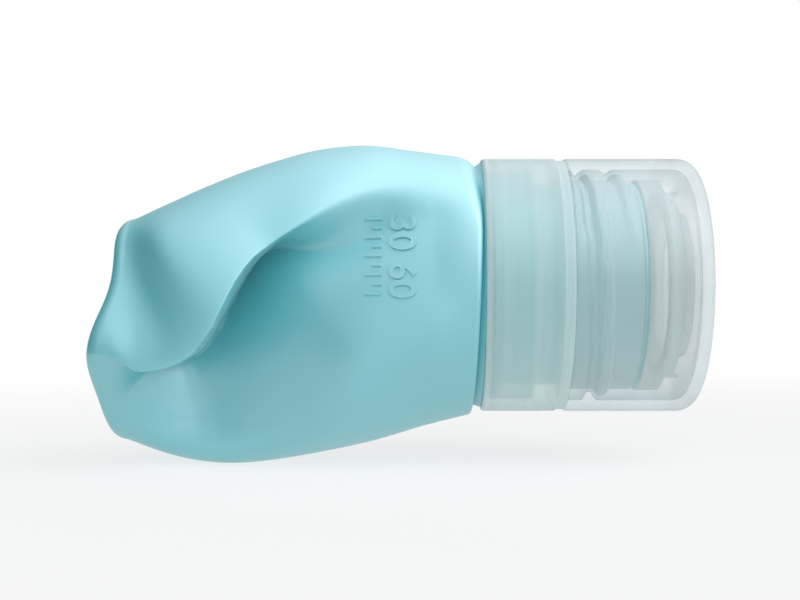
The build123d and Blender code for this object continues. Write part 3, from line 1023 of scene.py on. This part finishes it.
class BOTTLE_OT_collar(bpy.types.Operator):
    """Model the frosted collar with its neck thread, and put it in place of the plain solid."""

    bl_idname = "bottle.collar"
    bl_label = "Frosted collar"

    def execute(self, context):
        foot, end, outer = COLLAR_LOW.x, COLLAR_HIGH.x, COLLAR_HIGH.z
        land_foot, web_foot, rim = foot + LAND_ABOVE, foot + WEB_ABOVE, foot + RIM_ABOVE
        land_radius = outer - LAND_STEP
        corners = [
            (foot, SKIRT_BORE, 0.25),
            (foot, outer, 0.45),
            (land_foot, outer, 0.12),
            (land_foot, land_radius, 0.05),
            (rim, land_radius, 0.15),
            (rim, THREADED_RADIUS, 0.2),
            (end, THREADED_RADIUS, 0.2),
            (end, COLLAR_NECK_BORE, 0.15),
            (web_foot, COLLAR_NECK_BORE, 0.2),
            (web_foot, SKIRT_BORE, 0.3),
        ]
        rise = thread_rise(**NECK_THREAD)

        def raise_thread(x, r, angles):
            on_neck = abs(r - THREADED_RADIUS) <= ON_WALL
            on_neck = on_neck and end - NECK_THREAD_ROOM < x < end - NECK_END_ROOM
            return rise(x, angles) if on_neck else 0 * angles

        collar = turned_piece("frosted_collar", divided(rounded_outline(corners, COLLAR_STEPS)), raise_thread)
        finish = plastic_finish(
            "frosted_plastic",
            (colours().frosted, FROSTED_CLOUD),
            FROSTED_PASSING,
            centre=0.26,
            edge=0.72,
            roughness=0.35,
            grain=0.05,
            edge_gloss=0.4,
            milk_stops=collar_milk(foot),
        )
        paint(collar, finish)
        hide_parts("neck_collar")
        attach(collar, "bottle")
        return {"FINISHED"}


class BOTTLE_OT_cap(bpy.types.Operator):
    """Model the clear cap with its round corner and inner thread, and put it in place of the plain solid."""

    bl_idname = "bottle.cap"
    bl_label = "Clear cap"

    def execute(self, context):
        size = sizes()
        rim, outer = CAP_LOW.x, CAP_HIGH.z
        bore = outer - size.cap_wall / MM
        inner_end = -size.cap_end_wall / MM
        seal_face, seal_outer = SEAL_HIGH.x + SEAL_GAP, SEAL_HIGH.z
        rib_foot = (SEAL_LOW.x + SEAL_HIGH.x) / 2
        rib_outer = seal_outer - SEAL_WIDTH - RIB_GAP
        rib_inner = rib_outer - RIB_WIDTH
        corners = [
            (0.0, 0, 0),
            (0.0, outer, size.cap_corner / MM),
            (rim, outer, 0.3),
            (rim, bore, 0.15),
            (inner_end, bore, CAP_END_FILLET),
            (inner_end, seal_outer, 0.1),
            (seal_face, seal_outer, 0.1),
            (seal_face, rib_outer, 0.05),
            (rib_foot, rib_outer, 0.1),
            (rib_foot, rib_inner, 0.1),
            (inner_end, rib_inner, 0.1),
            (inner_end, 0, 0),
        ]
        rise = thread_rise(**CAP_THREAD)

        def raise_thread(x, r, angles):
            on_bore = abs(r - bore) <= ON_WALL
            on_bore = on_bore and rim + CAP_RIM_ROOM < x < inner_end - CAP_END_ROOM
            return -rise(x, angles) if on_bore else 0 * angles

        cap = turned_piece("clear_cap", divided(rounded_outline(corners, CAP_STEPS)), raise_thread)
        finish = plastic_finish(
            "clear_plastic",
            (colours().clear, CLEAR_CLOUD),
            CLEAR_PASSING,
            centre=0.09,
            edge=0.2,
            roughness=0.16,
            grain=0.02,
            edge_gloss=0.3,
            # Painted shade: these stops darken the light that passes the cap's side wall near its hollow end
            painted_shade_stops=((-5.4, 1.0), (-4.7, 0.94), (-2.4, 0.95), (-1.2, 1.0)),
        )
        paint(cap, finish)
        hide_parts("screw_cap")
        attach(cap, "cap")
        return {"FINISHED"}


class BOTTLE_OT_inner_pieces(bpy.types.Operator):
    """Give the sleeve, plug, valve, retainer and seal their finishes."""

    bl_idname = "bottle.inner_pieces"
    bl_label = "Inner pieces"

    def execute(self, context):
        colour = colours()
        milky = plastic_finish(
            "milky_plastic",
            (colour.plug, PLUG_CLOUD),
            MILKY_PASSING,
            centre=0.3,
            edge=0.8,
            roughness=0.35,
            grain=0.05,
            edge_gloss=0.4,
        )
        soft = plastic_finish(
            "milky_silicone",
            (colour.seal, SEAL_CLOUD),
            MILKY_PASSING,
            centre=0.5,
            edge=0.9,
            roughness=0.5,
            grain=0.1,
            edge_gloss=0.3,
        )
        for name in ("neck_sleeve", "dispensing_plug", "valve_retainer"):
            paint(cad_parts[name], milky)
        for name in ("valve", "cap_seal"):
            paint(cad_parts[name], soft)
        return {"FINISHED"}


# Stage, in metres

# The floor's gap under the bottle and half its width, and the point that the lamps face
FLOOR_GAP, FLOOR_HALF = 0.02 * MM, 3.0
STAGE_MIDDLE = (-0.045, 0, 0)

# Lamps: name, place, width and watts
LAMPS = (
    ("key_softbox", (0.25, -0.20, 0.36), 0.35, 0.4),
    ("top_softbox", (0.05, 0.10, 0.5), 0.6, 0.15),
)
CAMERA_PLACE, CAMERA_LENS = (-0.043, -0.211, -0.0022), 64.35

# The share of the floor's own glow that the camera sees: FLOOR_NEAR_SHARE within the first distance from the
# middle, and all of it past the second. Everything else gets FLOOR_LIGHT_SHARE of the glow
FLOOR_SHADOW_REACH, FLOOR_NEAR_SHARE = (0.06, 0.3), 0.75
FLOOR_LIGHT_SHARE = 0.6

# The room's light: its bright side, the edges between which it grows, and its strengths
GLOW_SIDE, GLOW_EDGES, GLOW_STRENGTHS = (0.45, -0.80, -0.40), (-0.7, 1.0), (0.05, 1.9)
SHINE_SIDE, SHINE_EDGES, SHINE_CURVE, SHINE_STRENGTH = (0.55, -0.15, 0.82), (-0.3, 0.95), 1.7, 3.4
ROOM_COLOUR = (0.92, 0.96, 1.0, 1)


class BOTTLE_OT_stage(bpy.types.Operator):
    """Set the pale floor, the soft lamps and the camera."""

    bl_idname = "bottle.stage"
    bl_label = "Stage"

    def execute(self, context):
        scene = context.scene
        scene.view_settings.view_transform = "Standard"
        scene.cycles.transparent_max_bounces = 32
        scene.cycles.transmission_bounces = 16
        scene.cycles.max_bounces = 16
        height = CAD_BOX[0][2] - FLOOR_GAP
        corners = [(x, y, height) for x, y in ((-1, -1), (1, -1), (1, 1), (-1, 1))]
        floor = mesh_piece(
            "floor", [(x * FLOOR_HALF, y * FLOOR_HALF, z) for x, y, z in corners], [(0, 1, 2, 3)]
        )
        paint(floor, floor_finish())
        set_world(scene)
        for lamp in LAMPS:
            add_lamp(*lamp)
        add_camera(scene)
        return {"FINISHED"}


def floor_finish():
    """Pale floor that the camera sees as white, but for the object's shadow near it."""
    finish = Finish("pale_floor")
    finish.shader.inputs["Base Color"].default_value = (*colours().floor, 1)
    finish.set(Roughness=0.9)
    glow = finish.node("ShaderNodeEmission")
    glow.inputs["Strength"].default_value = 1.0
    path = finish.node("ShaderNodeLightPath")
    place = finish.node("ShaderNodeTexCoord")
    distance = finish.node("ShaderNodeVectorMath", operation="LENGTH")
    share = finish.node("ShaderNodeMapRange", interpolation_type="SMOOTHSTEP")
    share.inputs["From Min"].default_value, share.inputs["From Max"].default_value = FLOOR_SHADOW_REACH
    share.inputs["To Min"].default_value = FLOOR_NEAR_SHARE
    seen = finish.node("ShaderNodeMix")
    seen.inputs["A"].default_value = FLOOR_LIGHT_SHARE
    finish.link(place.outputs["Object"], distance.inputs[0])
    finish.link(distance.outputs["Value"], share.inputs["Value"])
    finish.link(path.outputs["Is Camera Ray"], seen.inputs["Factor"])
    finish.link(share.outputs["Result"], seen.inputs["B"])
    mix = finish.mixed(seen.outputs["Result"], finish.shader.outputs["BSDF"], glow.outputs["Emission"])
    finish.link(mix.outputs["Shader"], finish.output.inputs["Surface"])
    return finish.material


def set_world(scene):
    """Soft light from one side, a shine from above in the glossy surfaces, and white for the camera."""
    world = bpy.data.worlds.new("soft_room")
    world.use_nodes = True
    nodes, links = world.node_tree.nodes, world.node_tree.links

    def joined(kind, source, target):
        made = nodes.new(kind)
        links.new(source, made.inputs[target])
        return made

    def towards(bright_side, edges, strengths):
        """Light strength that grows towards the bright side."""
        near = joined("ShaderNodeVectorMath", direction.outputs["Generated"], 0)
        near.operation = "DOT_PRODUCT"
        near.inputs[1].default_value = Vector(bright_side).normalized()
        made = joined("ShaderNodeMapRange", near.outputs["Value"], "Value")
        made.inputs["From Min"].default_value, made.inputs["From Max"].default_value = edges
        made.inputs["To Min"].default_value, made.inputs["To Max"].default_value = strengths
        return made

    direction = nodes.new("ShaderNodeTexCoord")
    path = nodes.new("ShaderNodeLightPath")
    glow = towards(GLOW_SIDE, GLOW_EDGES, GLOW_STRENGTHS)
    ramp = towards(SHINE_SIDE, SHINE_EDGES, (0.0, 1.0))
    swell = joined("ShaderNodeMath", ramp.outputs["Result"], 0)
    swell.operation = "POWER"
    swell.inputs[1].default_value = SHINE_CURVE
    shine = joined("ShaderNodeMapRange", swell.outputs["Value"], "Value")
    shine.inputs["To Max"].default_value = SHINE_STRENGTH
    strength = joined("ShaderNodeMix", path.outputs["Is Glossy Ray"], "Factor")
    links.new(glow.outputs["Result"], strength.inputs["A"])
    links.new(shine.outputs["Result"], strength.inputs["B"])
    back = nodes["Background"]
    back.inputs["Color"].default_value = ROOM_COLOUR
    links.new(strength.outputs["Result"], back.inputs["Strength"])
    white = nodes.new("ShaderNodeBackground")
    white.inputs["Color"].default_value = (1, 1, 1, 1)
    white.inputs["Strength"].default_value = 1.0
    mix = joined("ShaderNodeMixShader", path.outputs["Is Camera Ray"], "Fac")
    links.new(back.outputs["Background"], mix.inputs[1])
    links.new(white.outputs["Background"], mix.inputs[2])
    links.new(mix.outputs["Shader"], nodes["World Output"].inputs["Surface"])
    scene.world = world


def add_lamp(name, place, width, watts):
    data = bpy.data.lights.new(name, "AREA")
    data.shape = "DISK"
    data.size = width
    data.energy = watts
    lamp = bpy.data.objects.new(name, data)
    lamp.location = place
    lamp.rotation_euler = (Vector(STAGE_MIDDLE) - Vector(place)).to_track_quat("-Z", "Y").to_euler()
    bpy.context.scene.collection.objects.link(lamp)


def add_camera(scene):
    data = bpy.data.cameras.new("camera")
    data.sensor_width = 36
    data.lens = CAMERA_LENS
    camera = bpy.data.objects.new("camera", data)
    camera.location = CAMERA_PLACE
    camera.rotation_euler = (math.radians(90), 0, 0)
    scene.collection.objects.link(camera)
    scene.camera = camera


STEPS = (
    ("bottle.body", "Silicone body"),
    ("bottle.fill_marks", "Fill marks"),
    ("bottle.collar", "Frosted collar"),
    ("bottle.cap", "Clear cap"),
    ("bottle.inner_pieces", "Inner pieces"),
    ("bottle.stage", "Stage"),
)


class BOTTLE_PT_panel(bpy.types.Panel):
    """Lists the sizes, the colours and the steps."""

    bl_idname = "BOTTLE_PT_panel"
    bl_label = "Squeeze Bottle"
    bl_space_type = "VIEW_3D"
    bl_region_type = "UI"
    bl_category = "Bottle"

    def draw(self, context):
        layout = self.layout
        for group in (context.scene.bottle_sizes, context.scene.bottle_colours):
            column = layout.column()
            for name in group.bl_rna.properties.keys():
                if name not in ("rna_type", "name"):
                    column.prop(group, name)
        for operator, _ in STEPS:
            layout.operator(operator)


CLASSES = (
    BottleSizes,
    BottleColours,
    BOTTLE_OT_body,
    BOTTLE_OT_fill_marks,
    BOTTLE_OT_collar,
    BOTTLE_OT_cap,
    BOTTLE_OT_inner_pieces,
    BOTTLE_OT_stage,
    BOTTLE_PT_panel,
)


def register():
    for each in CLASSES:
        bpy.utils.register_class(each)
    bpy.types.Scene.bottle_sizes = PointerProperty(type=BottleSizes)
    bpy.types.Scene.bottle_colours = PointerProperty(type=BottleColours)


def unregister():
    del bpy.types.Scene.bottle_colours
    del bpy.types.Scene.bottle_sizes
    for each in reversed(CLASSES):
        bpy.utils.unregister_class(each)


def main():
    register()
    for operator, _ in STEPS:
        group, name = operator.split(".")
        getattr(getattr(bpy.ops, group), name)()


if __name__ == "__main__":
    main()
